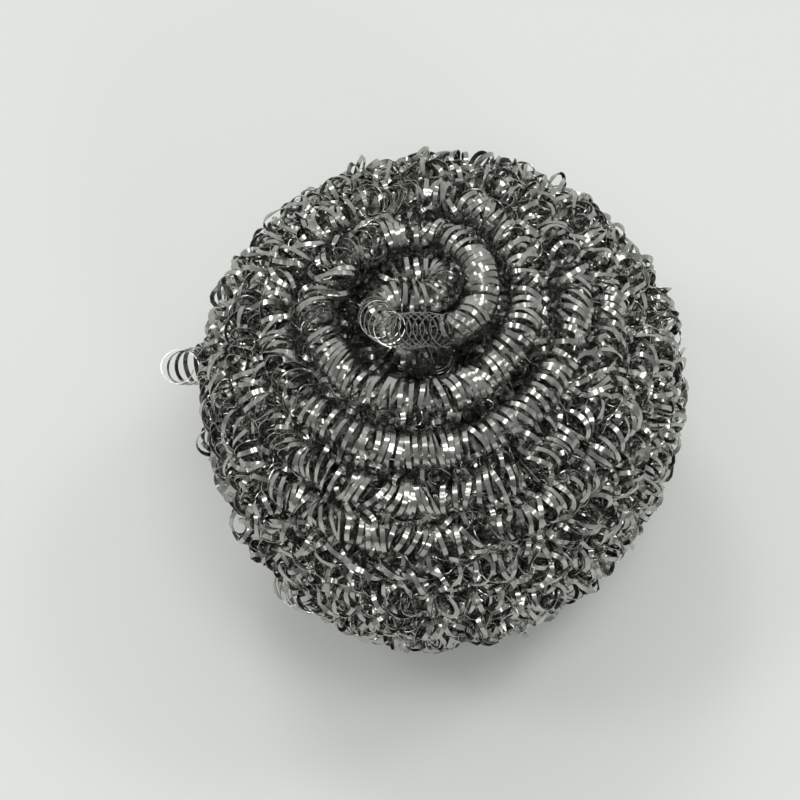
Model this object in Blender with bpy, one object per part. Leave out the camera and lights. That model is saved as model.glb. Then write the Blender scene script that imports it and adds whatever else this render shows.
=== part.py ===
"""A stainless steel scrubber: one long coil of springy flat ribbon, wound into a ball with a rosette on top.

Units are metres and +Z is up. The origin is under the middle of the part, on the surface that it rests on.
The coil of ribbon is modelled as the rope that it fills: one tube of the coil's outer diameter, which follows
the whole winding. The strand starts tucked in half way up the ball and winds down its outside. It goes back
and forth through three inner layers and a core, rises along the ball's axis, folds into a knob in the rosette
and runs once round the knob. Then it winds down the outside again to its free tail.
"""

import math

import bmesh
import bpy
import numpy as np

MM = 0.001

# The ball
BALL_WIDTH = 81.5 * MM
BALL_DEPTH = 90.0 * MM
BALL_HEIGHT = 76.0 * MM
BALL_SQUARENESS = 2.2  # exponent of the side view's outline: 2 is an ellipse, and more is boxier
PLAN_TURN = math.radians(-20)  # turns the ball's long side, seen from above
LUMP_HEIGHT = 0.8 * MM
LUMP_TWISTS = (40.0, 50.0)  # radians a metre that the two sets of lumps turn with height
LUMP_SHARE = 0.6  # how high the second set is against the first
PRESSED_FLAT = 1.4 * MM  # how far the lowest turns are flattened where the ball rests

# The coil of ribbon, and how closely its turns lie
COIL_DIAMETER = 6.3 * MM
TURN_GAP = 1.0 * MM
INNER_TURN_GAP = 1.2 * MM
TURN_BACK_GAP = 3.0 * MM  # more room between turns where a layer turns back
LAYER_GAP = 1.4 * MM
MOUTH_RADIUS = 15.8 * MM  # of the hole in the second layer, which the strand rises through
MOUTH_TAPER = 3.4 * MM  # how much narrower that hole is in the third layer

# The core, a helix that goes down about the stem
CORE_TOP = 6.4 * MM  # above the ball's middle
CORE_FOOT = 0.5 * MM  # below the ball's middle
FOURTH_SLANT = 0.5 * MM  # how far the fourth layer leans in towards the core's top
STEM_GAP = 0.7 * MM  # between the stem and the core about it

# The knob, a tighter stretch of the coil that zigzags inside the rosette
KNOB_COIL_DIAMETER = 5.6 * MM
KNOB_GAP = 0.5 * MM
KNOB_LENGTH = 5.8 * MM
KNOB_TO_RIGHT = 0.5 * MM
KNOB_CLEARANCE = 2.5 * MM  # between the knob's bends and the rosette's first turn, at the turn's start

# The rosette, which lies towards the left of the ball's top
ROSETTE_SHIFT = (-6.9 * MM, -1.6 * MM)
MIDDLE_SHARE = 0.25  # of that shift, measured from the ball's foot, that its middle has
ROSETTE_DIP = 1.6 * MM
GROOVE_WIDTH = 0.6 * MM  # extra room between the rosette's first two turns
GROOVE_START = 0.25  # turns from the rosette's start

# The free tail, on the left, and the tucked end, just past it
TAIL_HEIGHT = 45.0 * MM
TAIL_ANGLE = math.radians(169)
TAIL_REACH = 3.0 * MM
TAIL_BEND = 3.8 * MM
TAIL_COIL_DIAMETER = 5.6 * MM
TUCKED_END_ANGLE = math.radians(24)

# How finely the tube is divided
OUTLINE_POINTS = 2001
BEND_POINTS = 40
TAPER_POINTS = 4  # over which the coil's diameter changes
ROUTE_STEP = 0.025 * MM
LINE_STEP = 2.0 * MM
LINE_PIECES = 8
LONGEST_STEP = 7.5 * MM
SHARPEST_BEND = math.radians(23)

STEEL_COLOUR = (0.56, 0.56, 0.54, 1.0)
STEEL_ROUGHNESS = 0.28

TURN_PITCH = COIL_DIAMETER + TURN_GAP
INNER_PITCH = COIL_DIAMETER + INNER_TURN_GAP
LAYER_PITCH = COIL_DIAMETER + LAYER_GAP
KNOB_PITCH = KNOB_COIL_DIAMETER + KNOB_GAP
POLE_RADIUS = INNER_PITCH * 0.46  # the tightest turn about the ball's axis
FOOT_RADIUS = POLE_RADIUS + LAYER_PITCH / 2
STEM_ROOM = (COIL_DIAMETER + KNOB_COIL_DIAMETER) / 2 + STEM_GAP
ROSETTE_RADIUS = (KNOB_LENGTH + KNOB_PITCH + COIL_DIAMETER + KNOB_COIL_DIAMETER) / 2 + KNOB_CLEARANCE
CENTRE_HEIGHT = (BALL_HEIGHT - PRESSED_FLAT) / 2  # of the ball's middle above the surface it rests on
FULL_TURN = 2 * math.pi
INWARDS = (-1.0, 0.0)
UPWARDS = (0.0, 1.0)

# The way from the core's foot into the stem: radius in stem rooms, height in inner pitches, angle in radians
FOOT_CURL = (
    (0.92, -0.16, 0.61),
    (0.73, -0.40, 1.26),
    (0.51, -0.59, 2.06),
    (0.46, -0.54, 3.25),
    (0.20, -0.27, 4.05),
    (-0.03, 0.22, 4.30),
    (0.00, 0.80, 4.50),
)
# The stem's top: across, back and up from the first turn's level, in knob pitches
STEM_ROUTE = (
    (0.00, 0.00, -2.30),
    (0.22, -0.36, -1.80),
    (-0.16, -0.76, -1.40),
)
# The knob, the same way, but across in knob lengths
KNOB_ROUTE = (
    (-0.80, -0.62, -1.09),
    (-1.08, 0.02, -0.83),
    (-0.90, 0.66, -0.52),
    (-0.45, 0.96, -0.25),
    (0.05, 0.99, -0.22),
    (0.42, 0.95, -0.18),
    (0.84, 0.52, -0.04),
    (0.46, 0.00, 0.27),
    (0.03, 0.00, 0.30),
    (-0.42, 0.00, 0.30),
    (-0.92, -0.49, 0.34),
    (-0.42, -0.99, 0.40),
    (0.10, -0.99, 0.41),
    (0.56, -0.99, 0.41),
)
# The run round the knob: angle in degrees, turn pitches inside the rosette's first turn, height in knob pitches
KNOB_RUN = (
    (-36, 1.04, 0.33),
    (-10, 0.89, 0.22),
    (14, 0.86, 0.17),
    (39, 0.88, 0.03),
    (64, 0.93, -0.15),
    (90, 1.00, -0.22),
    (116, 1.075, -0.18),
    (142, 1.10, -0.08),
)


def lengths_along(points):
    """The length of a polyline up to each of its points."""
    steps = np.linalg.norm(np.diff(points, axis=0), axis=1)
    return np.concatenate([[0.0], np.cumsum(steps)])


def resampled(points, step):
    """Points an equal distance apart along a polyline."""
    along = lengths_along(points)
    wanted = np.linspace(0.0, along[-1], max(2, round(along[-1] / step)))
    return np.column_stack([np.interp(wanted, along, axis) for axis in points.T])


def smooth_curve(points, pieces):
    """A centripetal curve through every point, as a dense polyline."""
    padded = np.vstack([2 * points[0] - points[1], points, 2 * points[-1] - points[-2]])
    a, b, c, d = padded[:-3], padded[1:-2], padded[2:-1], padded[3:]
    knots = [np.zeros((len(a), 1))]
    for p, q in ((a, b), (b, c), (c, d)):
        knots.append(knots[-1] + np.sqrt(np.linalg.norm(q - p, axis=1))[:, None])
    k0, k1, k2, k3 = knots
    made = []
    for share in np.arange(pieces) / pieces:
        t = k1 + (k2 - k1) * share
        ab = a + (b - a) * (t - k0) / (k1 - k0)
        bc = b + (c - b) * (t - k1) / (k2 - k1)
        cd = c + (d - c) * (t - k2) / (k3 - k2)
        abc = ab + (bc - ab) * (t - k0) / (k2 - k0)
        bcd = bc + (cd - bc) * (t - k1) / (k3 - k1)
        made.append(abc + (bcd - abc) * (t - k1) / (k2 - k1))
    return np.vstack([np.stack(made, axis=1).reshape(-1, points.shape[1]), points[-1:]])


def layer_outline(depth, top_radius, bottom_radius):
    """Half the side view of a layer of turns, as (radius, height) from its top to its bottom.

    The layer's centre line lies this deep under the outermost one. The outline is cut off at one radius on
    the top and another on the bottom.
    """
    half_width = (BALL_WIDTH - COIL_DIAMETER) / 2 - depth
    half_height = (BALL_HEIGHT + PRESSED_FLAT - COIL_DIAMETER) / 2 - depth
    angles = np.linspace(0.0, math.pi, OUTLINE_POINTS)
    power = 2.0 / BALL_SQUARENESS
    radius = half_width * np.sin(angles) ** power
    height = half_height * np.sign(np.cos(angles)) * np.abs(np.cos(angles)) ** power
    dip = ROSETTE_DIP * np.exp(-((radius / ROSETTE_RADIUS) ** 2))
    height -= dip * np.maximum(0.0, height / half_height)
    cut_off = np.where(height > 0, radius < top_radius, radius < bottom_radius)
    return np.column_stack([radius, height])[~cut_off]


def turn_back(start, end, towards):
    """A half circle that bulges this way, from the end of one layer to the start of the next."""
    middle, half = (start + end) / 2, (end - start) / 2
    angles = np.linspace(0.0, math.pi, BEND_POINTS)[:, None]
    return middle - half * np.cos(angles) + np.linalg.norm(half) * np.array(towards) * np.sin(angles)


def inner_route():
    """The strand's way from the end of the outer layer to the foot of the core, as (radius, height).

    It comes as pieces: turns back and layers, one after the other.
    """
    outer_end = layer_outline(0.0, ROSETTE_RADIUS, FOOT_RADIUS)[-1]
    second = layer_outline(LAYER_PITCH, MOUTH_RADIUS, FOOT_RADIUS)[::-1]
    third = layer_outline(2 * LAYER_PITCH, MOUTH_RADIUS - MOUTH_TAPER, FOOT_RADIUS)
    fourth = layer_outline(3 * LAYER_PITCH, 0.0, FOOT_RADIUS)[::-1]
    fourth = fourth[fourth[:, 1] < 0.0]
    fourth = np.vstack([fourth, [fourth[-1][0] - FOURTH_SLANT, CORE_TOP]])
    core_top = np.array([STEM_ROOM, CORE_TOP])
    core = np.array([core_top, [STEM_ROOM, -CORE_FOOT]])
    return [
        turn_back(outer_end, second[0], INWARDS),
        second,
        turn_back(second[-1], third[0], INWARDS),
        third,
        turn_back(third[-1], fourth[0], INWARDS),
        fourth,
        turn_back(fourth[-1], core_top, UPWARDS),
        core,
    ]


def placed(route, angles):
    """The points at these (radius, height) pairs and these angles about the Z axis."""
    radius, height = route.T
    return np.column_stack([radius * np.cos(angles), radius * np.sin(angles), height])


def outer_winding():
    """The outer layer's spiral, from the rosette's first turn to the bottom, with the angle of each point."""
    route = resampled(layer_outline(0.0, ROSETTE_RADIUS, FOOT_RADIUS), ROUTE_STEP)
    turns = lengths_along(route) / TURN_PITCH
    groove = GROOVE_WIDTH / TURN_PITCH * np.clip(turns - GROOVE_START, 0.0, 1.0)
    angles = math.pi + FULL_TURN * (turns - groove)
    return placed(route, angles), angles


def inner_winding(first_angle):
    """The inner layers' spiral, from the bottom of the outer layer to the foot of the core.

    Its turns lie further apart where it turns back, because they face each other across the bend there.
    """
    points, turns = [], []
    turned = 0.0
    for number, piece in enumerate(inner_route()):
        piece = resampled(piece, ROUTE_STEP)
        pitch = INNER_PITCH + (TURN_BACK_GAP if number % 2 == 0 else 0.0)
        points.append(piece[1:])
        turns.append(turned + lengths_along(piece)[1:] / pitch)
        turned = turns[-1][-1]
    return placed(np.vstack(points), first_angle + FULL_TURN * np.concatenate(turns))


def stem_and_knob(core_foot, level):
    """Points that the strand passes from the core's foot to the rosette's first turn, at this level.

    It curls into the axis, rises along it, and zigzags: to the right at the back, to the left in the middle
    and to the right at the front. Then it runs round the right and the back of this knob.
    """
    first = math.atan2(core_foot[1], core_foot[0])
    radius, height, turn = np.array(FOOT_CURL).T
    curl = np.column_stack([radius * STEM_ROOM, core_foot[2] + height * INNER_PITCH])
    curl = placed(curl, first + turn)
    stem = np.array(STEM_ROUTE) * KNOB_PITCH + (KNOB_TO_RIGHT, 0.0, level)
    knob = np.array(KNOB_ROUTE) * (KNOB_LENGTH, KNOB_PITCH, KNOB_PITCH) + (KNOB_TO_RIGHT, 0.0, level)
    angle, inside, height = np.array(KNOB_RUN).T
    share = angle / 360 + 0.5
    radius = ROSETTE_RADIUS + TURN_PITCH * (share - inside)
    run = placed(np.column_stack([radius, level + height * KNOB_PITCH]), np.radians(angle))
    return np.vstack([curl, stem, knob, run])


def tail(last, heading):
    """Points of the free tail, which leaves the ball's side, points outwards and ends at its own height."""
    outwards = np.array([last[0], last[1], 0.0]) / math.hypot(last[0], last[1])
    onwards = heading * (1.0, 1.0, 0.0)
    up = np.array([0.0, 0.0, 1.0])
    reach = (TAIL_REACH + COIL_DIAMETER / 2) / TAIL_BEND
    rise = (TAIL_HEIGHT - CENTRE_HEIGHT - last[2]) / TAIL_BEND
    steps = ((1.0, 0.45, 0.0), (1.5, 1.3, rise / 2), (1.55, reach, rise))
    return np.array([last + TAIL_BEND * (onwards * a + outwards * b + up * c) for a, b, c in steps])


def ball_shape(points):
    """The winding as the ball is really shaped: longer one way, lumpy, and with its top to one side."""
    x, y, z = points.T
    top = (BALL_HEIGHT + PRESSED_FLAT - COIL_DIAMETER) / 2
    along = np.array([math.cos(PLAN_TURN), math.sin(PLAN_TURN)])
    stretch = (BALL_DEPTH - COIL_DIAMETER) / (BALL_WIDTH - COIL_DIAMETER) - 1
    across = (-x * along[1] + y * along[0]) * stretch
    shift = (((z + top) / (2 * top)) ** 2 - MIDDLE_SHARE) / (1 - MIDDLE_SHARE)
    angle = np.arctan2(y, x)
    lumps = np.sin(2 * angle + LUMP_TWISTS[0] * z + 1.0)
    lumps += LUMP_SHARE * np.sin(3 * angle - LUMP_TWISTS[1] * z)
    outwards = LUMP_HEIGHT * lumps * np.minimum(1.0, np.hypot(x, y) / (BALL_WIDTH / 2)) ** 2
    return np.column_stack([
        x - across * along[1] + outwards * np.cos(angle) + ROSETTE_SHIFT[0] * shift,
        y + across * along[0] + outwards * np.sin(angle) + ROSETTE_SHIFT[1] * shift,
        z,
    ])


def strand():
    """The strand's centre line, from its tucked end to the tip of its tail, and its radius at each point."""
    outer, angles = outer_winding()
    side = np.abs(np.mod(angles - TAIL_ANGLE + math.pi, FULL_TURN) - math.pi) < math.radians(1)
    height_miss = np.abs(outer[:, 2] + CENTRE_HEIGHT - TAIL_HEIGHT)
    last = np.argmin(np.where(side, height_miss, math.inf))
    first = np.searchsorted(angles, angles[last] + TUCKED_END_ANGLE)
    inner = inner_winding(angles[-1])
    heading = outer[last] - outer[last - 1]
    heading /= np.linalg.norm(heading)
    stretches = [
        resampled(np.vstack([outer[first:], inner[1:]]), LINE_STEP),
        stem_and_knob(inner[-1], outer[0][2]),
        resampled(outer[: last + 1], LINE_STEP),
        tail(outer[last], heading),
    ]
    line = smooth_curve(ball_shape(np.vstack(stretches)), LINE_PIECES)
    ends = np.cumsum([len(stretch) for stretch in stretches])
    changes = [ends[0], ends[0] + TAPER_POINTS, ends[1] - TAPER_POINTS, ends[1], ends[2], ends[3]]
    sizes = [COIL_DIAMETER, KNOB_COIL_DIAMETER, KNOB_COIL_DIAMETER, COIL_DIAMETER, COIL_DIAMETER]
    diameters = np.interp(np.arange(len(line)) / LINE_PIECES, changes, sizes + [TAIL_COIL_DIAMETER])
    return line, diameters / 2


def corners(line, radii):
    """The lowest and highest corner of a round tube along a line."""
    headings = np.gradient(line, axis=0)
    headings /= np.linalg.norm(headings, axis=1)[:, None]
    reach = radii[:, None] * np.sqrt(1.0 - headings**2)
    return (line - reach).min(axis=0), (line + reach).max(axis=0)


def sections(line):
    """Where the tube needs a section along a line: far apart on its straights, close in its bends."""
    steps = np.diff(line, axis=0)
    lengths = np.linalg.norm(steps, axis=1)
    directions = steps / lengths[:, None]
    bends = np.arccos(np.clip(np.sum(directions[1:] * directions[:-1], axis=1), -1.0, 1.0))
    need = lengths / LONGEST_STEP
    need[1:] = np.maximum(need[1:], bends / SHARPEST_BEND)
    total = np.concatenate([[0.0], np.cumsum(need)])
    count = math.ceil(total[-1])
    return np.interp(np.linspace(0.0, total[-1], count + 1), total, np.arange(len(line)))


def tube(name, line, radii, collection):
    """A closed tube along a line, as a mesh object."""
    curve = bpy.data.curves.new(name + "_curve", "CURVE")
    curve.dimensions = "3D"
    curve.bevel_depth = 1.0
    curve.bevel_resolution = 1
    curve.use_fill_caps = True
    spline = curve.splines.new("POLY")
    spline.points.add(len(line) - 1)
    spline.points.foreach_set("co", np.column_stack([line, np.ones(len(line))]).ravel())
    spline.points.foreach_set("radius", radii)
    guide = bpy.data.objects.new(name + "_curve", curve)
    collection.objects.link(guide)
    bpy.context.view_layer.update()
    evaluated = guide.evaluated_get(bpy.context.evaluated_depsgraph_get())
    mesh = bpy.data.meshes.new_from_object(evaluated)
    mesh.name = name
    bpy.data.objects.remove(guide)
    bpy.data.curves.remove(curve)
    weld(mesh)
    made = bpy.data.objects.new(name, mesh)
    collection.objects.link(made)
    return made


def weld(mesh):
    """Joins a tube's caps to its wall."""
    work = bmesh.new()
    work.from_mesh(mesh)
    bmesh.ops.remove_doubles(work, verts=work.verts, dist=0.01 * MM)
    bmesh.ops.recalc_face_normals(work, faces=work.faces)
    work.to_mesh(mesh)
    work.free()


def floor_cutter(collection):
    """A block under the surface that the ball rests on, to press its lowest turns flat."""
    thickness = 10 * PRESSED_FLAT
    bpy.ops.mesh.primitive_cube_add(size=1.0, location=(0.0, 0.0, -thickness / 2))
    cutter = bpy.context.object
    cutter.name = "floor_cutter"
    cutter.scale = (BALL_WIDTH, BALL_DEPTH, thickness)
    cutter.hide_render = True
    cutter.display_type = "WIRE"
    for home in list(cutter.users_collection):
        home.objects.unlink(cutter)
    collection.objects.link(cutter)
    return cutter


def steel():
    """Plain bright stainless steel."""
    material = bpy.data.materials.new("stainless_steel")
    material.use_nodes = True
    shader = material.node_tree.nodes["Principled BSDF"]
    shader.inputs["Base Color"].default_value = STEEL_COLOUR
    shader.inputs["Metallic"].default_value = 1.0
    shader.inputs["Roughness"].default_value = STEEL_ROUGHNESS
    return material


def new_collection(name):
    collection = bpy.data.collections.new(name)
    bpy.context.scene.collection.children.link(collection)
    return collection


def build():
    """The scrubber, resting on the ground plane with the origin under the middle of its box."""
    for old in list(bpy.data.objects):
        bpy.data.objects.remove(old)
    parts = new_collection("Scrubber")
    cutters = new_collection("Cutters")
    line, radii = strand()
    low, high = corners(line, radii)
    line = line - [(low[0] + high[0]) / 2, (low[1] + high[1]) / 2, low[2] + PRESSED_FLAT]
    places = sections(line)
    chosen = np.column_stack([np.interp(places, np.arange(len(line)), axis) for axis in line.T])
    coil = tube("scrubber_coil", chosen, np.interp(places, np.arange(len(line)), radii), parts)
    pressing = coil.modifiers.new("Pressed flat", "BOOLEAN")
    pressing.operation = "DIFFERENCE"
    pressing.solver = "EXACT"
    pressing.object = floor_cutter(cutters)
    coil.data.materials.append(steel())
    coil.data.shade_smooth()


build()
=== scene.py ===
"""How the stainless steel scrubber looks: the flat ribbon itself, coiled along the strand's centre line.

The strand's centre line is worked out here as it is for the solids, from the same sizes. The ribbon is a thin
closed band that winds about it. Its turns are even in the rosette on top, and looser and more tangled further
down. Shorter lengths of ribbon, pulled out of the neighbouring turns, lie in the grooves between them, and
stray curls lie on the outside.
"""

import math

import bpy
import numpy as np
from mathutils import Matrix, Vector


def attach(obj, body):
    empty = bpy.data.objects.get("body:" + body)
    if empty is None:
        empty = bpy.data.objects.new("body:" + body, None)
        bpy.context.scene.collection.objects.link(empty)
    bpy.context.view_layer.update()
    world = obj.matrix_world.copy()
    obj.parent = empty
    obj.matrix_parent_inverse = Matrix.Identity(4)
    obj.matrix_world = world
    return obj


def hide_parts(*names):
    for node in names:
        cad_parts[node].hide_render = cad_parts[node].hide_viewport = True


MM = 0.001
FULL_TURN = 2 * math.pi

# The ball
BALL_WIDTH = 81.5 * MM
BALL_DEPTH = 90.0 * MM
BALL_HEIGHT = 76.0 * MM
BALL_SQUARENESS = 2.2  # exponent of the side view's outline: 2 is an ellipse, and more is boxier
PLAN_TURN = math.radians(-20)  # turns the ball's long side, seen from above
LUMP_HEIGHT = 0.8 * MM
LUMP_TWISTS = (40.0, 50.0)  # radians a metre that the two sets of lumps turn with height
LUMP_SHARE = 0.6  # how high the second set is against the first
PRESSED_FLAT = 1.4 * MM  # how far the lowest turns are flattened where the ball rests

# The coil of ribbon, and how closely its turns lie
COIL_DIAMETER = 6.3 * MM
TURN_GAP = 1.0 * MM
INNER_TURN_GAP = 1.2 * MM
TURN_BACK_GAP = 3.0 * MM  # more room between turns where a layer turns back
LAYER_GAP = 1.4 * MM
MOUTH_RADIUS = 15.8 * MM  # of the hole in the second layer, which the strand rises through
MOUTH_TAPER = 3.4 * MM  # how much narrower that hole is in the third layer

# The core, a helix that goes down about the stem
CORE_TOP = 6.4 * MM  # above the ball's middle
CORE_FOOT = 0.5 * MM  # below the ball's middle
FOURTH_SLANT = 0.5 * MM  # how far the fourth layer leans in towards the core's top
STEM_GAP = 0.7 * MM  # between the stem and the core about it

# The knob, a tighter stretch of the coil that zigzags inside the rosette
KNOB_COIL_DIAMETER = 5.6 * MM
KNOB_GAP = 0.5 * MM
KNOB_LENGTH = 5.8 * MM
KNOB_TO_RIGHT = 0.5 * MM
KNOB_CLEARANCE = 2.5 * MM  # between the knob's bends and the rosette's first turn, at the turn's start

# The rosette, which lies towards the left of the ball's top
ROSETTE_SHIFT = (-6.9 * MM, -1.6 * MM)
MIDDLE_SHARE = 0.25  # of that shift, measured from the ball's foot, that its middle has
ROSETTE_DIP = 1.6 * MM
GROOVE_WIDTH = 0.6 * MM  # extra room between the rosette's first two turns
GROOVE_START = 0.25  # turns from the rosette's start

# The free tail, on the left, and the tucked end, just past it
TAIL_HEIGHT = 45.0 * MM
TAIL_ANGLE = math.radians(169)
TAIL_REACH = 3.0 * MM
TAIL_BEND = 3.8 * MM
TAIL_COIL_DIAMETER = 5.6 * MM
TUCKED_END_ANGLE = math.radians(24)

# How finely the strand's line is divided
OUTLINE_POINTS = 2001
BEND_POINTS = 40
TAPER_POINTS = 4  # over which the coil's diameter changes
ROUTE_STEP = 0.025 * MM
LINE_STEP = 2.0 * MM  # between the line's control points
LINE_PIECES = 8  # from one control point to the next

TURN_PITCH = COIL_DIAMETER + TURN_GAP
INNER_PITCH = COIL_DIAMETER + INNER_TURN_GAP
LAYER_PITCH = COIL_DIAMETER + LAYER_GAP
KNOB_PITCH = KNOB_COIL_DIAMETER + KNOB_GAP
POLE_RADIUS = INNER_PITCH * 0.46  # the tightest turn about the ball's axis
FOOT_RADIUS = POLE_RADIUS + LAYER_PITCH / 2
STEM_ROOM = (COIL_DIAMETER + KNOB_COIL_DIAMETER) / 2 + STEM_GAP
ROSETTE_RADIUS = (KNOB_LENGTH + KNOB_PITCH + COIL_DIAMETER + KNOB_COIL_DIAMETER) / 2 + KNOB_CLEARANCE
CENTRE_HEIGHT = (BALL_HEIGHT - PRESSED_FLAT) / 2  # of the ball's middle above the surface it rests on
INWARDS = (-1.0, 0.0)
UPWARDS = (0.0, 1.0)

# The way from the core's foot into the stem: radius in stem rooms, height in inner pitches, angle in radians
FOOT_CURL = (
    (0.92, -0.16, 0.61),
    (0.73, -0.40, 1.26),
    (0.51, -0.59, 2.06),
    (0.46, -0.54, 3.25),
    (0.20, -0.27, 4.05),
    (-0.03, 0.22, 4.30),
    (0.00, 0.80, 4.50),
)
# The stem's top: across, back and up from the first turn's level, in knob pitches
STEM_ROUTE = (
    (0.00, 0.00, -2.30),
    (0.22, -0.36, -1.80),
    (-0.16, -0.76, -1.40),
)
# The knob, the same way, but across in knob lengths
KNOB_ROUTE = (
    (-0.80, -0.62, -1.09),
    (-1.08, 0.02, -0.83),
    (-0.90, 0.66, -0.52),
    (-0.45, 0.96, -0.25),
    (0.05, 0.99, -0.22),
    (0.42, 0.95, -0.18),
    (0.84, 0.52, -0.04),
    (0.46, 0.00, 0.27),
    (0.03, 0.00, 0.30),
    (-0.42, 0.00, 0.30),
    (-0.92, -0.49, 0.34),
    (-0.42, -0.99, 0.40),
    (0.10, -0.99, 0.41),
    (0.56, -0.99, 0.41),
)
# The run round the knob: angle in degrees, turn pitches inside the rosette's first turn, and height in knob
# pitches
KNOB_RUN = (
    (-36, 1.04, 0.33),
    (-10, 0.89, 0.22),
    (14, 0.86, 0.17),
    (39, 0.88, 0.03),
    (64, 0.93, -0.15),
    (90, 1.00, -0.22),
    (116, 1.075, -0.18),
    (142, 1.10, -0.08),
)

# The ribbon
RIBBON_WIDTH = 0.8 * MM
RIBBON_THICKNESS = 0.11 * MM
RIBBON_STEP = 0.1 * MM  # along the line, at which the spacing of its turns is worked out
FRAME_STEP = 1.0 * MM
FIRST_SIDE = (0.3, 0.2, 0.9)  # any direction that the strand doesn't start in
AXIS_ROOM = 2 * MM  # nearer the ball's middle than this, outwards and beside fade away
LENGTH_POINTS = 24000  # at most, in one object's length of ribbon
SHARP_EDGE = math.radians(50)
TINY = 1e-9  # added to a vector, like the next, so that its length is never zero
TINIER = 1e-12

# The turns' disorder. A pair is what even turns have and what full mess adds to it. A length is how far along
# the line it takes to change, or along the ribbon itself for a kink.
SLOW_STRETCH = 0.12
SLOW_STRETCH_LENGTH = 14 * MM
QUICK_STRETCH = (0.10, 0.32)
QUICK_STRETCH_LENGTH = 2.6 * MM
STRETCH_LIMITS = (-0.5, 0.6)
QUICK_LEAN = 0.55
QUICK_LEAN_LENGTH = 1.6 * MM
SLOW_LEAN = 0.5
SLOW_LEAN_LENGTH = 6 * MM
LEAN = (0.14, 0.95)
LYING_STEADIES_LEAN = 0.6
LYING_ANGLE = math.radians(74)
MOST_LEAN = math.radians(80)
SWELLING = (0.02, 0.085)
SWELLING_LENGTH = 1.9 * MM
SWELLING_KINK = (0.012, 0.05)
SWELLING_KINK_LENGTH = 3.0 * MM
OVAL = (0.02, 0.07)
OVAL_LENGTH = 4 * MM
OVAL_TURN_LENGTH = 9 * MM
DRIFT = (0.08, 0.8)  # in millimetres
DRIFT_OUTWARDS = 0.55
DRIFT_BESIDE = 0.7
DRIFT_LENGTH = 2.2 * MM
EVEN_TWIST = 0.3
TWIST = (0.05, 0.22)
TWIST_LENGTH = 1.3 * MM
TWIST_KINK = (0.16, 0.34)
TWIST_KINK_LENGTH = 2.2 * MM
SLOW_TWIST = 0.35
SLOW_TWIST_LENGTH = 5 * MM
LYING_STEADIES_TWIST = 0.85

# How messy the outer turns are, from 0 for even turns to 1 or a little more, by their distance from the
# rosette's middle and by their height
MESS_BY_DISTANCE = ((16 * MM, 0.16), (21 * MM, 0.34), (27 * MM, 0.55), (36 * MM, 0.85), (43 * MM, 1.0))
MESS_BY_HEIGHT = ((20 * MM, 1.15), (48 * MM, 1.0), (60 * MM, 0.0))
MESSY_BACK = 0.75  # behind the knob
MESSY_BACK_PLACE = (-8 * MM, 12 * MM)  # across and back from the ball's middle
MESSY_BACK_SPREAD = (9 * MM, 6 * MM)
MESSY_BACK_HEIGHT = 55 * MM  # only above this
ROSETTE_POINTS = 200  # of the line, from the rosette's start, whose mean is the rosette's middle

# How far apart the ribbon's turns lie
OUTER_SPACING = (1.25 * MM, 0.25 * MM)  # in even turns, and what full mess adds
INNER_SPACING = 1.5 * MM
TAIL_SPACING = 1.0 * MM
LOOSE_SPACING = 2.4 * MM
STRAY_SPACING = 2.8 * MM

# The knob's turns, by the control points from the core's foot: their spacing, their mess and how flat they
# lie. Those that lie flat show their open side to the front and the top.
KNOB_SPACING = (
    (11, 1.3 * MM),
    (13, 1.35 * MM),
    (15.5, 1.1 * MM),
    (16.5, 1.2 * MM),
    (19, 1.35 * MM),
    (20, 0.8 * MM),
    (21, 0.85 * MM),
    (23, 0.8 * MM),
    (24.5, 1.1 * MM),
    (27, 1.15 * MM),
    (31, 1.4 * MM),
)
KNOB_MESS = ((24, 0.08), (26.5, 0.12), (28.5, 0.6), (32, 0.6), (35, 0.16))
KNOB_LYING = ((19.5, 0.0), (20.3, 1.0), (23.4, 1.0), (24.1, 0.0))
LYING_TOWARDS = (0.0, -0.5, 0.87)

# Where the lengths of ribbon meet and change, in control points
UPPER_LATE = 3  # how far past the core's foot the upper length starts
INNER_PAST = 6  # how far past it the inner length ends
KNOB_PAST = 3  # how far past the knob's end its spacing and mess hold
TAIL_EARLY = 2  # how far before the tail its turns become even
TAIL_LYING = 1.2  # over how far the tail's turns come to lie flat

INNER_SWELLING = 1.1  # how much wider than the rope the inner turns are
INNER_MESS = 0.6
TAIL_MESS = 0.12

# The loose turns in the grooves and the stray curls on the outside
GROOVE_DEPTH = 0.9 * MM
GROOVE_TOP = 52 * MM  # below which there are loose turns all round
LOOSE_RADIUS = 2.6 * MM
LOOSE_MESS = 1.0
LOOSE_LATE = 0.5  # of a turn, from the outer turns
LOOSE_FROM = 31 * MM  # from the rosette's middle
STRAY_RADIUS = 2.0 * MM
STRAY_MESS = 1.4
STRAY_LATE = 0.3
STRAY_FROM = 27 * MM

# How many straight steps each turn of the ribbon is drawn with
LOWER_STEPS = 20
INNER_STEPS = 14
UPPER_STEPS = 24
LOOSE_STEPS = 16

# The finish
STEEL_COLOURS = ((0.29, 0.295, 0.275, 1), (0.54, 0.54, 0.51, 1))
STEEL_ROUGHNESS = (0.13, 0.28)
NOISE_RANGE = (0.3, 0.7)  # the values of noise that the colours and the roughness are spread over
COLOUR_NOISE = (420.0, 3.0)  # scale and detail
ROUGHNESS_NOISE = (900.0, 2.0)
BUMP_NOISE = (2500.0, 3.0)
BUMP_STRENGTH = 0.12
BUMP_HEIGHT = 0.02 * MM

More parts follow.
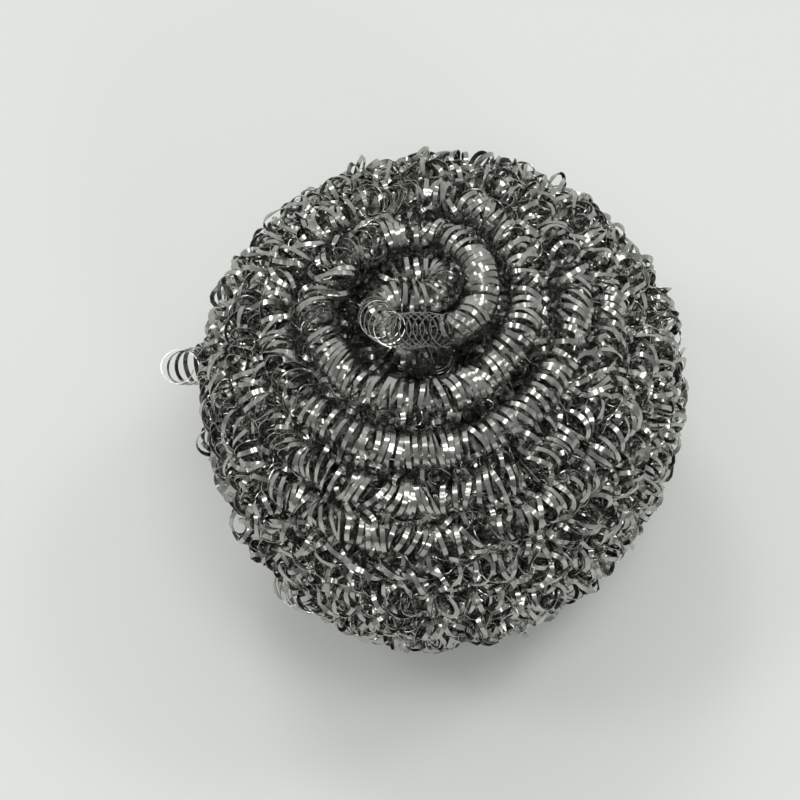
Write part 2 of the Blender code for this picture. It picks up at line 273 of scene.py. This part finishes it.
# The stage
FLOOR_SIZE = 6.0
FLOOR_COLOUR = (0.785, 0.80, 0.785, 1)
FLOOR_ROUGHNESS = 0.9
ROOM_COLOURS = ((0.25, 0.26, 0.25, 1), (0.71, 0.73, 0.71, 1))  # in front of the ball and behind it
ROOM_REACH = 0.9  # how far forwards and back those colours lie, where 1 is straight ahead
LAMP_COLOUR = (1.0, 0.99, 0.965)
LAMP_AIM = (0, 0, 0.03)
# Each lamp's name, place and width in metres, and power in watts
LAMPS = (
    ("back_lamp", (-0.45, 0.85, 1.5), 0.44, 3.6),
    ("top_lamp", (0.25, -0.25, 1.7), 0.48, 3.8),
    ("right_lamp", (0.85, 0.4, 1.4), 0.34, 2.2),
    ("left_lamp", (-1.0, -0.05, 1.3), 0.34, 2.2),
    ("front_lamp", (-0.05, -0.9, 1.5), 0.46, 4.2),
    ("low_lamp", (0.5, -1.25, 0.9), 0.34, 1.9),
)

# The camera
CAMERA_ELEVATION = math.radians(60)
CAMERA_DISTANCE = 450 * MM
CAMERA_LENS = 117.0
CAMERA_SENSOR = 36.0
PIXEL = 0.169 * MM  # what one pixel of the picture shows at the ball's middle
FRAME_SIZE = 800
BALL_MIDDLE_IN_VIEW = (447, 397)

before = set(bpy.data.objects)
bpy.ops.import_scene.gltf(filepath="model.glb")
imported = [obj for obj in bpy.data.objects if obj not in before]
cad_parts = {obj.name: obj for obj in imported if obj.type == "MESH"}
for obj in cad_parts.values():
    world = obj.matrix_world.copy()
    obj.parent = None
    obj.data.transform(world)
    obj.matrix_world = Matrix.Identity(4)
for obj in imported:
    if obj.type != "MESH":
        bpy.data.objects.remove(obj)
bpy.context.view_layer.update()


# The strand's centre line

def lengths_along(points):
    """The length of a polyline up to each of its points."""
    steps = np.linalg.norm(np.diff(points, axis=0), axis=1)
    return np.concatenate([[0.0], np.cumsum(steps)])


def read_at(wanted, known, values):
    """Each column of values, read at the wanted places along the known ones."""
    return np.column_stack([np.interp(wanted, known, column) for column in values.T])


def resampled(points, step):
    """Points an equal distance apart along a polyline."""
    along = lengths_along(points)
    return read_at(np.linspace(0.0, along[-1], max(2, round(along[-1] / step))), along, points)


def smooth_curve(points, pieces):
    """A centripetal curve through every point, as a dense polyline."""
    padded = np.vstack([2 * points[0] - points[1], points, 2 * points[-1] - points[-2]])
    a, b, c, d = padded[:-3], padded[1:-2], padded[2:-1], padded[3:]
    knots = [np.zeros((len(a), 1))]
    for p, q in ((a, b), (b, c), (c, d)):
        knots.append(knots[-1] + np.sqrt(np.linalg.norm(q - p, axis=1))[:, None])
    k0, k1, k2, k3 = knots
    made = []
    for share in np.arange(pieces) / pieces:
        t = k1 + (k2 - k1) * share
        ab = a + (b - a) * (t - k0) / (k1 - k0)
        bc = b + (c - b) * (t - k1) / (k2 - k1)
        cd = c + (d - c) * (t - k2) / (k3 - k2)
        abc = ab + (bc - ab) * (t - k0) / (k2 - k0)
        bcd = bc + (cd - bc) * (t - k1) / (k3 - k1)
        made.append(abc + (bcd - abc) * (t - k1) / (k2 - k1))
    return np.vstack([np.stack(made, axis=1).reshape(-1, points.shape[1]), points[-1:]])


def layer_outline(depth, top_radius, bottom_radius):
    """Half the side view of a layer of turns, as (radius, height) from its top to its bottom.

    The layer's centre line lies this deep under the outermost one. The outline is cut off at one radius on
    the top and another on the bottom.
    """
    half_width = (BALL_WIDTH - COIL_DIAMETER) / 2 - depth
    half_height = (BALL_HEIGHT + PRESSED_FLAT - COIL_DIAMETER) / 2 - depth
    angles = np.linspace(0.0, math.pi, OUTLINE_POINTS)
    power = 2.0 / BALL_SQUARENESS
    radius = half_width * np.sin(angles) ** power
    height = half_height * np.sign(np.cos(angles)) * np.abs(np.cos(angles)) ** power
    dip = ROSETTE_DIP * np.exp(-((radius / ROSETTE_RADIUS) ** 2))
    height -= dip * np.maximum(0.0, height / half_height)
    cut_off = np.where(height > 0, radius < top_radius, radius < bottom_radius)
    return np.column_stack([radius, height])[~cut_off]


def turn_back(start, end, towards):
    """A half circle that bulges this way, from the end of one layer to the start of the next."""
    middle, half = (start + end) / 2, (end - start) / 2
    angles = np.linspace(0.0, math.pi, BEND_POINTS)[:, None]
    return middle - half * np.cos(angles) + np.linalg.norm(half) * np.array(towards) * np.sin(angles)


def inner_route():
    """The strand's way from the end of the outer layer to the foot of the core, as (radius, height).

    It comes as pieces: turns back and layers, one after the other.
    """
    outer_end = layer_outline(0.0, ROSETTE_RADIUS, FOOT_RADIUS)[-1]
    second = layer_outline(LAYER_PITCH, MOUTH_RADIUS, FOOT_RADIUS)[::-1]
    third = layer_outline(2 * LAYER_PITCH, MOUTH_RADIUS - MOUTH_TAPER, FOOT_RADIUS)
    fourth = layer_outline(3 * LAYER_PITCH, 0.0, FOOT_RADIUS)[::-1]
    fourth = fourth[fourth[:, 1] < 0.0]
    fourth = np.vstack([fourth, [fourth[-1][0] - FOURTH_SLANT, CORE_TOP]])
    core_top = np.array([STEM_ROOM, CORE_TOP])
    core = np.array([core_top, [STEM_ROOM, -CORE_FOOT]])
    return [
        turn_back(outer_end, second[0], INWARDS),
        second,
        turn_back(second[-1], third[0], INWARDS),
        third,
        turn_back(third[-1], fourth[0], INWARDS),
        fourth,
        turn_back(fourth[-1], core_top, UPWARDS),
        core,
    ]


def placed(route, angles):
    """The points at these (radius, height) pairs and these angles about the Z axis."""
    radius, height = route.T
    return np.column_stack([radius * np.cos(angles), radius * np.sin(angles), height])


def outer_winding(late=0.0, depth=0.0):
    """The outer layer's spiral, from the rosette's first turn to the bottom, with the angle of each point.

    A spiral that is late by a share of a turn lies in the groove between the outer layer's turns.
    """
    route = resampled(layer_outline(depth, ROSETTE_RADIUS, FOOT_RADIUS), ROUTE_STEP)
    turns = lengths_along(route) / TURN_PITCH
    groove = GROOVE_WIDTH / TURN_PITCH * np.clip(turns - GROOVE_START, 0.0, 1.0)
    angles = math.pi + FULL_TURN * (turns - groove - late)
    return placed(route, angles), angles


def inner_winding(first_angle):
    """The inner layers' spiral, from the bottom of the outer layer to the foot of the core.

    Its turns lie further apart where it turns back, because they face each other across the bend there.
    """
    points, turns = [], []
    turned = 0.0
    for number, piece in enumerate(inner_route()):
        piece = resampled(piece, ROUTE_STEP)
        pitch = INNER_PITCH + (TURN_BACK_GAP if number % 2 == 0 else 0.0)
        points.append(piece[1:])
        turns.append(turned + lengths_along(piece)[1:] / pitch)
        turned = turns[-1][-1]
    return placed(np.vstack(points), first_angle + FULL_TURN * np.concatenate(turns))


def stem_and_knob(core_foot, level):
    """Points that the strand passes from the core's foot to the rosette's first turn, at this level.

    It curls into the axis, rises along it, and zigzags: to the right at the back, to the left in the middle
    and to the right at the front. Then it runs round the right and the back of this knob.
    """
    first = math.atan2(core_foot[1], core_foot[0])
    radius, height, turn = np.array(FOOT_CURL).T
    curl = np.column_stack([radius * STEM_ROOM, core_foot[2] + height * INNER_PITCH])
    curl = placed(curl, first + turn)
    stem = np.array(STEM_ROUTE) * KNOB_PITCH + (KNOB_TO_RIGHT, 0.0, level)
    knob = np.array(KNOB_ROUTE) * (KNOB_LENGTH, KNOB_PITCH, KNOB_PITCH) + (KNOB_TO_RIGHT, 0.0, level)
    angle, inside, height = np.array(KNOB_RUN).T
    share = angle / 360 + 0.5
    radius = ROSETTE_RADIUS + TURN_PITCH * (share - inside)
    run = placed(np.column_stack([radius, level + height * KNOB_PITCH]), np.radians(angle))
    return np.vstack([curl, stem, knob, run])


def tail(last, heading):
    """Points of the free tail, which leaves the ball's side, points outwards and ends at its own height."""
    outwards = np.array([last[0], last[1], 0.0]) / math.hypot(last[0], last[1])
    onwards = heading * (1.0, 1.0, 0.0)
    up = np.array([0.0, 0.0, 1.0])
    reach = (TAIL_REACH + COIL_DIAMETER / 2) / TAIL_BEND
    rise = (TAIL_HEIGHT - CENTRE_HEIGHT - last[2]) / TAIL_BEND
    steps = ((1.0, 0.45, 0.0), (1.5, 1.3, rise / 2), (1.55, reach, rise))
    return np.array([last + TAIL_BEND * (onwards * a + outwards * b + up * c) for a, b, c in steps])


def ball_shape(points):
    """The winding as the ball is really shaped: longer one way, lumpy, and with its top to one side."""
    x, y, z = points.T
    top = (BALL_HEIGHT + PRESSED_FLAT - COIL_DIAMETER) / 2
    along = np.array([math.cos(PLAN_TURN), math.sin(PLAN_TURN)])
    stretch = (BALL_DEPTH - COIL_DIAMETER) / (BALL_WIDTH - COIL_DIAMETER) - 1
    across = (-x * along[1] + y * along[0]) * stretch
    shift = (((z + top) / (2 * top)) ** 2 - MIDDLE_SHARE) / (1 - MIDDLE_SHARE)
    angle = np.arctan2(y, x)
    lumps = np.sin(2 * angle + LUMP_TWISTS[0] * z + 1.0)
    lumps += LUMP_SHARE * np.sin(3 * angle - LUMP_TWISTS[1] * z)
    outwards = LUMP_HEIGHT * lumps * np.minimum(1.0, np.hypot(x, y) / (BALL_WIDTH / 2)) ** 2
    return np.column_stack([
        x - across * along[1] + outwards * np.cos(angle) + ROSETTE_SHIFT[0] * shift,
        y + across * along[0] + outwards * np.sin(angle) + ROSETTE_SHIFT[1] * shift,
        z,
    ])


def strand():
    """The strand's centre line, its radius at each point, and the control points where its stretches end.

    The stretches are the outside's lower half, the inner layers with the core, the knob with its stem, and
    the rosette with the outside's upper half.
    """
    outer, angles = outer_winding()
    side = np.abs(np.mod(angles - TAIL_ANGLE + math.pi, FULL_TURN) - math.pi) < math.radians(1)
    height_miss = np.abs(outer[:, 2] + CENTRE_HEIGHT - TAIL_HEIGHT)
    last = np.argmin(np.where(side, height_miss, math.inf))
    first = np.searchsorted(angles, angles[last] + TUCKED_END_ANGLE)
    inner = inner_winding(angles[-1])
    heading = outer[last] - outer[last - 1]
    heading /= np.linalg.norm(heading)
    lower = resampled(outer[first:], LINE_STEP)
    stretches = [
        resampled(np.vstack([outer[first:], inner[1:]]), LINE_STEP),
        stem_and_knob(inner[-1], outer[0][2]),
        resampled(outer[: last + 1], LINE_STEP),
        tail(outer[last], heading),
    ]
    line = smooth_curve(ball_shape(np.vstack(stretches)), LINE_PIECES)
    ends = np.cumsum([len(stretch) for stretch in stretches])
    changes = [ends[0], ends[0] + TAPER_POINTS, ends[1] - TAPER_POINTS, ends[1], ends[2], ends[3]]
    sizes = [COIL_DIAMETER, KNOB_COIL_DIAMETER, KNOB_COIL_DIAMETER, COIL_DIAMETER, COIL_DIAMETER]
    diameters = np.interp(np.arange(len(line)) / LINE_PIECES, changes, sizes + [TAIL_COIL_DIAMETER])
    return line, diameters / 2, (len(lower), *ends[:3])


def corners(line, radii):
    """The lowest and highest corner of a round tube along a line."""
    headings = np.gradient(line, axis=0)
    headings /= np.linalg.norm(headings, axis=1)[:, None]
    reach = radii[:, None] * np.sqrt(1.0 - headings**2)
    return (line - reach).min(axis=0), (line + reach).max(axis=0)


# The finish

def steel():
    """Bright rolled stainless steel: slightly warm, a little uneven, with a fine bumpy grain."""
    material = bpy.data.materials.new("stainless_ribbon")
    material.use_nodes = True
    nodes, links = material.node_tree.nodes, material.node_tree.links
    shader = nodes["Principled BSDF"]
    shader.inputs["Metallic"].default_value = 1.0
    place = nodes.new("ShaderNodeTexCoord")

    def noise(scale, detail):
        """The value of a noise texture fixed to the object."""
        made = nodes.new("ShaderNodeTexNoise")
        made.inputs["Scale"].default_value = scale
        made.inputs["Detail"].default_value = detail
        links.new(place.outputs["Object"], made.inputs["Vector"])
        return made.outputs["Fac"]

    tint = nodes.new("ShaderNodeValToRGB")
    for element, position, colour in zip(tint.color_ramp.elements, NOISE_RANGE, STEEL_COLOURS):
        element.position = position
        element.color = colour
    links.new(noise(*COLOUR_NOISE), tint.inputs["Fac"])
    links.new(tint.outputs["Color"], shader.inputs["Base Color"])
    rough = nodes.new("ShaderNodeMapRange")
    rough.inputs["From Min"].default_value = NOISE_RANGE[0]
    rough.inputs["From Max"].default_value = NOISE_RANGE[1]
    rough.inputs["To Min"].default_value = STEEL_ROUGHNESS[0]
    rough.inputs["To Max"].default_value = STEEL_ROUGHNESS[1]
    links.new(noise(*ROUGHNESS_NOISE), rough.inputs["Value"])
    links.new(rough.outputs["Result"], shader.inputs["Roughness"])
    bump = nodes.new("ShaderNodeBump")
    bump.inputs["Strength"].default_value = BUMP_STRENGTH
    bump.inputs["Distance"].default_value = BUMP_HEIGHT
    links.new(noise(*BUMP_NOISE), bump.inputs["Height"])
    links.new(bump.outputs["Normal"], shader.inputs["Normal"])
    return material


def plain(name, colour, roughness):
    """A material of one colour."""
    material = bpy.data.materials.new(name)
    material.use_nodes = True
    shader = material.node_tree.nodes["Principled BSDF"]
    shader.inputs["Base Color"].default_value = colour
    shader.inputs["Roughness"].default_value = roughness
    return material


STEEL = steel()


# The ribbon

def unit(vectors):
    """Vectors of length 1 in the same directions."""
    return vectors / np.linalg.norm(vectors, axis=1)[:, None]


def dots(a, b):
    """The dot product of each pair of vectors, as a column."""
    return np.sum(a * b, axis=1)[:, None]


def square_to(vectors, heading):
    """What is left of vectors without their part along a heading."""
    return vectors - heading * dots(vectors, heading)


def read_table(places, table):
    """What a table of (place, value) pairs says at these places."""
    known, values = zip(*table)
    return np.interp(places, known, values)


def mixed(pair, mess):
    """What even turns have of something, with what this mess adds to it."""
    return pair[0] + pair[1] * mess


def wander(places, scale, random):
    """Smooth random values, mostly between -1 and 1, that change over this length."""
    step = places / scale
    whole = np.floor(step).astype(int)
    share = step - whole
    share = share * share * (3 - 2 * share)
    knots = random.standard_normal(whole.max() + 2)
    return knots[whole] * (1 - share) + knots[whole + 1] * share


def carried_frames(line):
    """A heading and a side at points along a line, where the side never spins about the heading."""
    along = lengths_along(line)
    places = np.linspace(0.0, along[-1], round(along[-1] / FRAME_STEP))
    points = read_at(places, along, line)
    headings = unit(np.gradient(points, axis=0))
    sides = np.empty_like(headings)
    side = np.cross(headings[0], FIRST_SIDE)
    for k, heading in enumerate(headings):
        side = side - heading * np.dot(side, heading)
        side /= math.sqrt(np.dot(side, side))
        sides[k] = side
    return places, headings, sides


def toppled(vectors, heading, leaning):
    """Vectors square to a heading, turned with it as it swings over to where it leans."""
    return vectors - dots(vectors, leaning) / (1.0 + dots(heading, leaning)) * (heading + leaning)


def coiled(line, radii, spacing, mess, lying, steps, random):
    """The ribbon's middle line along a coil, with its width direction and its face direction at each point.

    The coil's radius, the spacing of its turns, their mess, and how flat they lie from 0 to 1, are given for
    each point of the line. Each turn has this many steps.
    """
    along = lengths_along(line)
    fine = np.arange(0.0, along[-1], RIBBON_STEP)
    stretch = SLOW_STRETCH * wander(fine, SLOW_STRETCH_LENGTH, random)
    quick = mixed(QUICK_STRETCH, np.interp(fine, along, mess))
    stretch = stretch + quick * wander(fine, QUICK_STRETCH_LENGTH, random)
    stretched = np.interp(fine, along, spacing) * np.exp(np.clip(stretch, *STRETCH_LIMITS))
    turns = np.cumsum(RIBBON_STEP / stretched)
    count = int((turns[-1] - turns[0]) * steps)
    wanted = turns[0] + np.arange(count) / steps
    s = np.interp(wanted, turns, fine)
    points = read_at(s, along, line)
    places, headings, sides = carried_frames(line)
    heading = unit(read_at(s, places, headings))
    side = unit(square_to(read_at(s, places, sides), heading))
    other = np.cross(heading, side)
    outwards = square_to(points - ball_middle, heading)
    outwards = outwards / np.maximum(np.linalg.norm(outwards, axis=1), AXIS_ROOM)[:, None]
    beside = np.cross(heading, outwards)
    mess = np.interp(s, along, mess)[:, None]
    lying = np.interp(s, along, lying)[:, None]
    ribbon_place = wanted * FULL_TURN * np.mean(radii)

    # Each of these draws on from the same random numbers, so the order of their calls matters
    def noise(scale):
        """Random values that change along the line."""
        return wander(s, scale, random)[:, None]

    def kink(scale):
        """Random values that change along the ribbon, and so within a turn."""
        return wander(ribbon_place, scale, random)[:, None]

    def lean():
        """How far the turns lean one way."""
        return noise(QUICK_LEAN_LENGTH) * QUICK_LEAN + noise(SLOW_LEAN_LENGTH) * SLOW_LEAN

    leans = outwards * lean() + beside * lean()
    leans = leans * mixed(LEAN, mess) * (1 - LYING_STEADIES_LEAN * lying)
    over = square_to(np.broadcast_to(LYING_TOWARDS, heading.shape), heading)
    leans = leans + unit(over + TINY) * lying * LYING_ANGLE
    angle = np.minimum(np.linalg.norm(leans, axis=1)[:, None], MOST_LEAN)
    across = unit(square_to(unit(leans + TINY), heading) + TINIER)
    leaning = heading * np.cos(angle) + across * np.sin(angle)
    first = toppled(side, heading, leaning)
    second = toppled(other, heading, leaning)
    phase = (FULL_TURN * wanted)[:, None]
    radius = np.interp(s, along, radii)[:, None] - RIBBON_THICKNESS / 2
    swelling = 1.0 + mixed(SWELLING, mess) * noise(SWELLING_LENGTH)
    swelling = swelling + mixed(SWELLING_KINK, mess) * kink(SWELLING_KINK_LENGTH)
    oval = mixed(OVAL, mess) * noise(OVAL_LENGTH) * np.cos(2 * phase + 2 * noise(OVAL_TURN_LENGTH))
    drift = outwards * noise(DRIFT_LENGTH) * DRIFT_OUTWARDS + beside * noise(DRIFT_LENGTH) * DRIFT_BESIDE
    drift = drift * mixed(DRIFT, mess) * MM
    circle = first * np.cos(phase) + second * np.sin(phase)
    path = points + drift + radius * swelling * (1 + oval) * circle
    forward = unit(np.gradient(path, axis=0))
    width = unit(square_to(leaning, forward))
    face = np.cross(forward, width)
    twist = EVEN_TWIST + mixed(TWIST, mess) * noise(TWIST_LENGTH)
    twist = twist + mixed(TWIST_KINK, mess) * kink(TWIST_KINK_LENGTH)
    twist = (twist + SLOW_TWIST * mess * noise(SLOW_TWIST_LENGTH)) * (1 - LYING_STEADIES_TWIST * lying)
    return path, width * np.cos(twist) + face * np.sin(twist), face * np.cos(twist) - width * np.sin(twist)


def band(name, path, width, face):
    """A closed flat band along a path, as a mesh object that rides on the part."""
    path = path.copy()
    half_width = RIBBON_WIDTH / 2
    lift = half_width * np.abs(width[:, 2]) + RIBBON_THICKNESS
    path[:, 2] = np.maximum(path[:, 2], lift)
    half_thick = RIBBON_THICKNESS / 2
    signs = ((1, 1), (-1, 1), (-1, -1), (1, -1))
    rows = [path + width * half_width * a + face * half_thick * b for a, b in signs]
    vertices = np.stack(rows, axis=1).reshape(-1, 3)
    starts = 4 * np.arange(len(path) - 1)[:, None]
    walls = [starts + [j, (j + 1) % 4, (j + 1) % 4 + 4, j + 4] for j in range(4)]
    faces = np.stack(walls, axis=1).reshape(-1, 4)
    last = 4 * (len(path) - 1)
    faces = np.vstack([faces, [0, 3, 2, 1], [last, last + 1, last + 2, last + 3]])
    mesh = bpy.data.meshes.new(name)
    mesh.vertices.add(len(vertices))
    mesh.vertices.foreach_set("co", vertices.ravel())
    mesh.loops.add(faces.size)
    mesh.loops.foreach_set("vertex_index", faces.ravel())
    mesh.polygons.add(len(faces))
    mesh.polygons.foreach_set("loop_start", 4 * np.arange(len(faces)))
    mesh.update(calc_edges=True)
    mesh.shade_smooth()
    mesh.set_sharp_from_angle(angle=SHARP_EDGE)
    made = bpy.data.objects.new(name, mesh)
    bpy.context.scene.collection.objects.link(made)
    made.data.materials.append(STEEL)
    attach(made, "root")
    return made


def ribbon(name, line, radii, spacing, mess, steps, seed, lying=0.0):
    """A length of coiled ribbon along a line, as a few objects, each of it small enough.

    The radii, spacing, mess and lying are one number, or one for each point of the line.
    """
    columns = [np.full(len(line), value) for value in (radii, spacing, mess, lying)]
    path, width, face = coiled(line, *columns, steps, np.random.default_rng(seed))
    count = math.ceil(len(path) / LENGTH_POINTS)
    edges = np.linspace(0, len(path) - 1, count + 1).astype(int)
    made = []
    for k in range(count):
        part = slice(edges[k], edges[k + 1] + 1)
        label = name if count == 1 else f"{name}_{k + 1}"
        made.append(band(label, path[part], width[part], face[part]))
    return made


def groove_line(late, start):
    """A line in the groove beside the outer turns, without its first stretch on top.

    It starts this far from the rosette's middle, or where it comes down to the groove's top.
    """
    winding, _ = outer_winding(late, GROOVE_DEPTH)
    points = smooth_curve(ball_shape(resampled(winding, LINE_STEP)), LINE_PIECES) - shift
    distance = np.linalg.norm((points - rosette_middle)[:, :2], axis=1)
    return points[np.argmax((distance > start) | (points[:, 2] < GROOVE_TOP)):]


# The stage

def stage():
    """A pale floor, a room that is lighter behind the ball, and soft lamps above it on all sides."""
    bpy.ops.mesh.primitive_plane_add(size=FLOOR_SIZE)
    floor = bpy.context.object
    floor.name = "floor"
    floor.data.materials.append(plain("pale_floor", FLOOR_COLOUR, FLOOR_ROUGHNESS))
    world = bpy.data.worlds.new("room")
    bpy.context.scene.world = world
    world.use_nodes = True
    nodes, links = world.node_tree.nodes, world.node_tree.links
    direction = nodes.new("ShaderNodeTexCoord")
    apart = nodes.new("ShaderNodeSeparateXYZ")
    links.new(direction.outputs["Generated"], apart.inputs["Vector"])
    walls = nodes.new("ShaderNodeValToRGB")
    for element, position, colour in zip(walls.color_ramp.elements, (0.0, 1.0), ROOM_COLOURS):
        element.position = position
        element.color = colour
    backwards = nodes.new("ShaderNodeMapRange")
    backwards.inputs["From Min"].default_value = -ROOM_REACH
    backwards.inputs["From Max"].default_value = ROOM_REACH
    links.new(apart.outputs["Y"], backwards.inputs["Value"])
    links.new(backwards.outputs["Result"], walls.inputs["Fac"])
    links.new(walls.outputs["Color"], nodes["Background"].inputs["Color"])
    for name, place, size, power in LAMPS:
        lamp = bpy.data.lights.new(name, "AREA")
        lamp.size = size
        lamp.energy = power
        lamp.color = LAMP_COLOUR
        holder = bpy.data.objects.new(name, lamp)
        holder.location = place
        holder.rotation_euler = (Vector(LAMP_AIM) - Vector(place)).to_track_quat("-Z", "Y").to_euler()
        bpy.context.scene.collection.objects.link(holder)


def camera():
    """The picture's view: from the front and well above, with the ball a little right of the middle."""
    data = bpy.data.cameras.new("camera")
    data.lens = CAMERA_LENS
    data.sensor_width = CAMERA_SENSOR
    holder = bpy.data.objects.new("camera", data)
    bpy.context.scene.collection.objects.link(holder)
    back = Vector((0.0, -math.cos(CAMERA_ELEVATION), math.sin(CAMERA_ELEVATION)))
    up = Vector((0.0, math.sin(CAMERA_ELEVATION), math.cos(CAMERA_ELEVATION)))
    right = Vector((1.0, 0.0, 0.0))
    to_right = (FRAME_SIZE / 2 - BALL_MIDDLE_IN_VIEW[0]) * PIXEL
    to_top = (BALL_MIDDLE_IN_VIEW[1] - FRAME_SIZE / 2) * PIXEL
    aim = Vector(ball_middle) + right * to_right + up * to_top
    holder.location = aim + back * CAMERA_DISTANCE
    holder.rotation_mode = "QUATERNION"
    holder.rotation_quaternion = (-back).to_track_quat("-Z", "Y")
    bpy.context.scene.camera = holder


# Putting it together

line, radii, ends = strand()
low, high = corners(line, radii)
shift = np.array([(low[0] + high[0]) / 2, (low[1] + high[1]) / 2, low[2] + PRESSED_FLAT])
line = line - shift
ball_middle = -shift

camera()
stage()

lower_end, inner_end, knob_end, upper_end = (end * LINE_PIECES for end in ends)
rosette_middle = line[knob_end : knob_end + ROSETTE_POINTS].mean(axis=0)
height = line[:, 2]
distance = np.linalg.norm((line - rosette_middle)[:, :2], axis=1)
outer_mess = np.maximum(read_table(distance, MESS_BY_DISTANCE), read_table(height, MESS_BY_HEIGHT))
from_back = (line[:, :2] - ball_middle[:2] - MESSY_BACK_PLACE) / MESSY_BACK_SPREAD
messy_back = MESSY_BACK * np.exp(-np.sum(from_back**2, axis=1)) * (height > MESSY_BACK_HEIGHT)
outer_mess = np.maximum(outer_mess, messy_back)
outer_spacing = mixed(OUTER_SPACING, outer_mess)

# The lower half of the outside
lower = slice(0, lower_end + 1)
pieces = ribbon(
    "ribbon_lower", line[lower], radii[lower], outer_spacing[lower], outer_mess[lower], LOWER_STEPS,
    seed=11,
)

# The inner layers and the core
inner = slice(lower_end, inner_end + INNER_PAST * LINE_PIECES)
pieces += ribbon(
    "ribbon_inner", line[inner], radii[inner] * INNER_SWELLING, INNER_SPACING, INNER_MESS, INNER_STEPS,
    seed=12,
)

# The knob, the rosette and the upper half
upper = slice(inner_end + UPPER_LATE * LINE_PIECES, len(line))
index = np.arange(len(line))[upper]
control = index / LINE_PIECES - inner_end / LINE_PIECES
tail_start = upper_end / LINE_PIECES - inner_end / LINE_PIECES
in_knob = index < knob_end + KNOB_PAST * LINE_PIECES
in_tail = control > tail_start
upper_spacing = np.where(in_knob, read_table(control, KNOB_SPACING), outer_spacing[upper])
upper_spacing = np.where(in_tail, TAIL_SPACING, upper_spacing)
upper_mess = np.where(in_knob, read_table(control, KNOB_MESS), outer_mess[upper])
upper_mess = np.where(control > tail_start - TAIL_EARLY, TAIL_MESS, upper_mess)
tail_lying = read_table(control, ((tail_start, 0.0), (tail_start + TAIL_LYING, 1.0)))
upper_lying = np.maximum(read_table(control, KNOB_LYING), tail_lying)
pieces += ribbon(
    "ribbon_upper", line[upper], radii[upper], upper_spacing, upper_mess, UPPER_STEPS,
    seed=13, lying=upper_lying,
)

# Loose turns in the grooves, and stray curls on the outside of the messy turns
loose = groove_line(LOOSE_LATE, LOOSE_FROM)
pieces += ribbon("ribbon_loose", loose, LOOSE_RADIUS, LOOSE_SPACING, LOOSE_MESS, LOOSE_STEPS, seed=14)
stray = groove_line(STRAY_LATE, STRAY_FROM)
pieces += ribbon("ribbon_stray", stray, STRAY_RADIUS, STRAY_SPACING, STRAY_MESS, LOOSE_STEPS, seed=15)
for piece in pieces:
    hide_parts("scrubber_coil")

bpy.context.scene.view_settings.view_transform = "Standard"
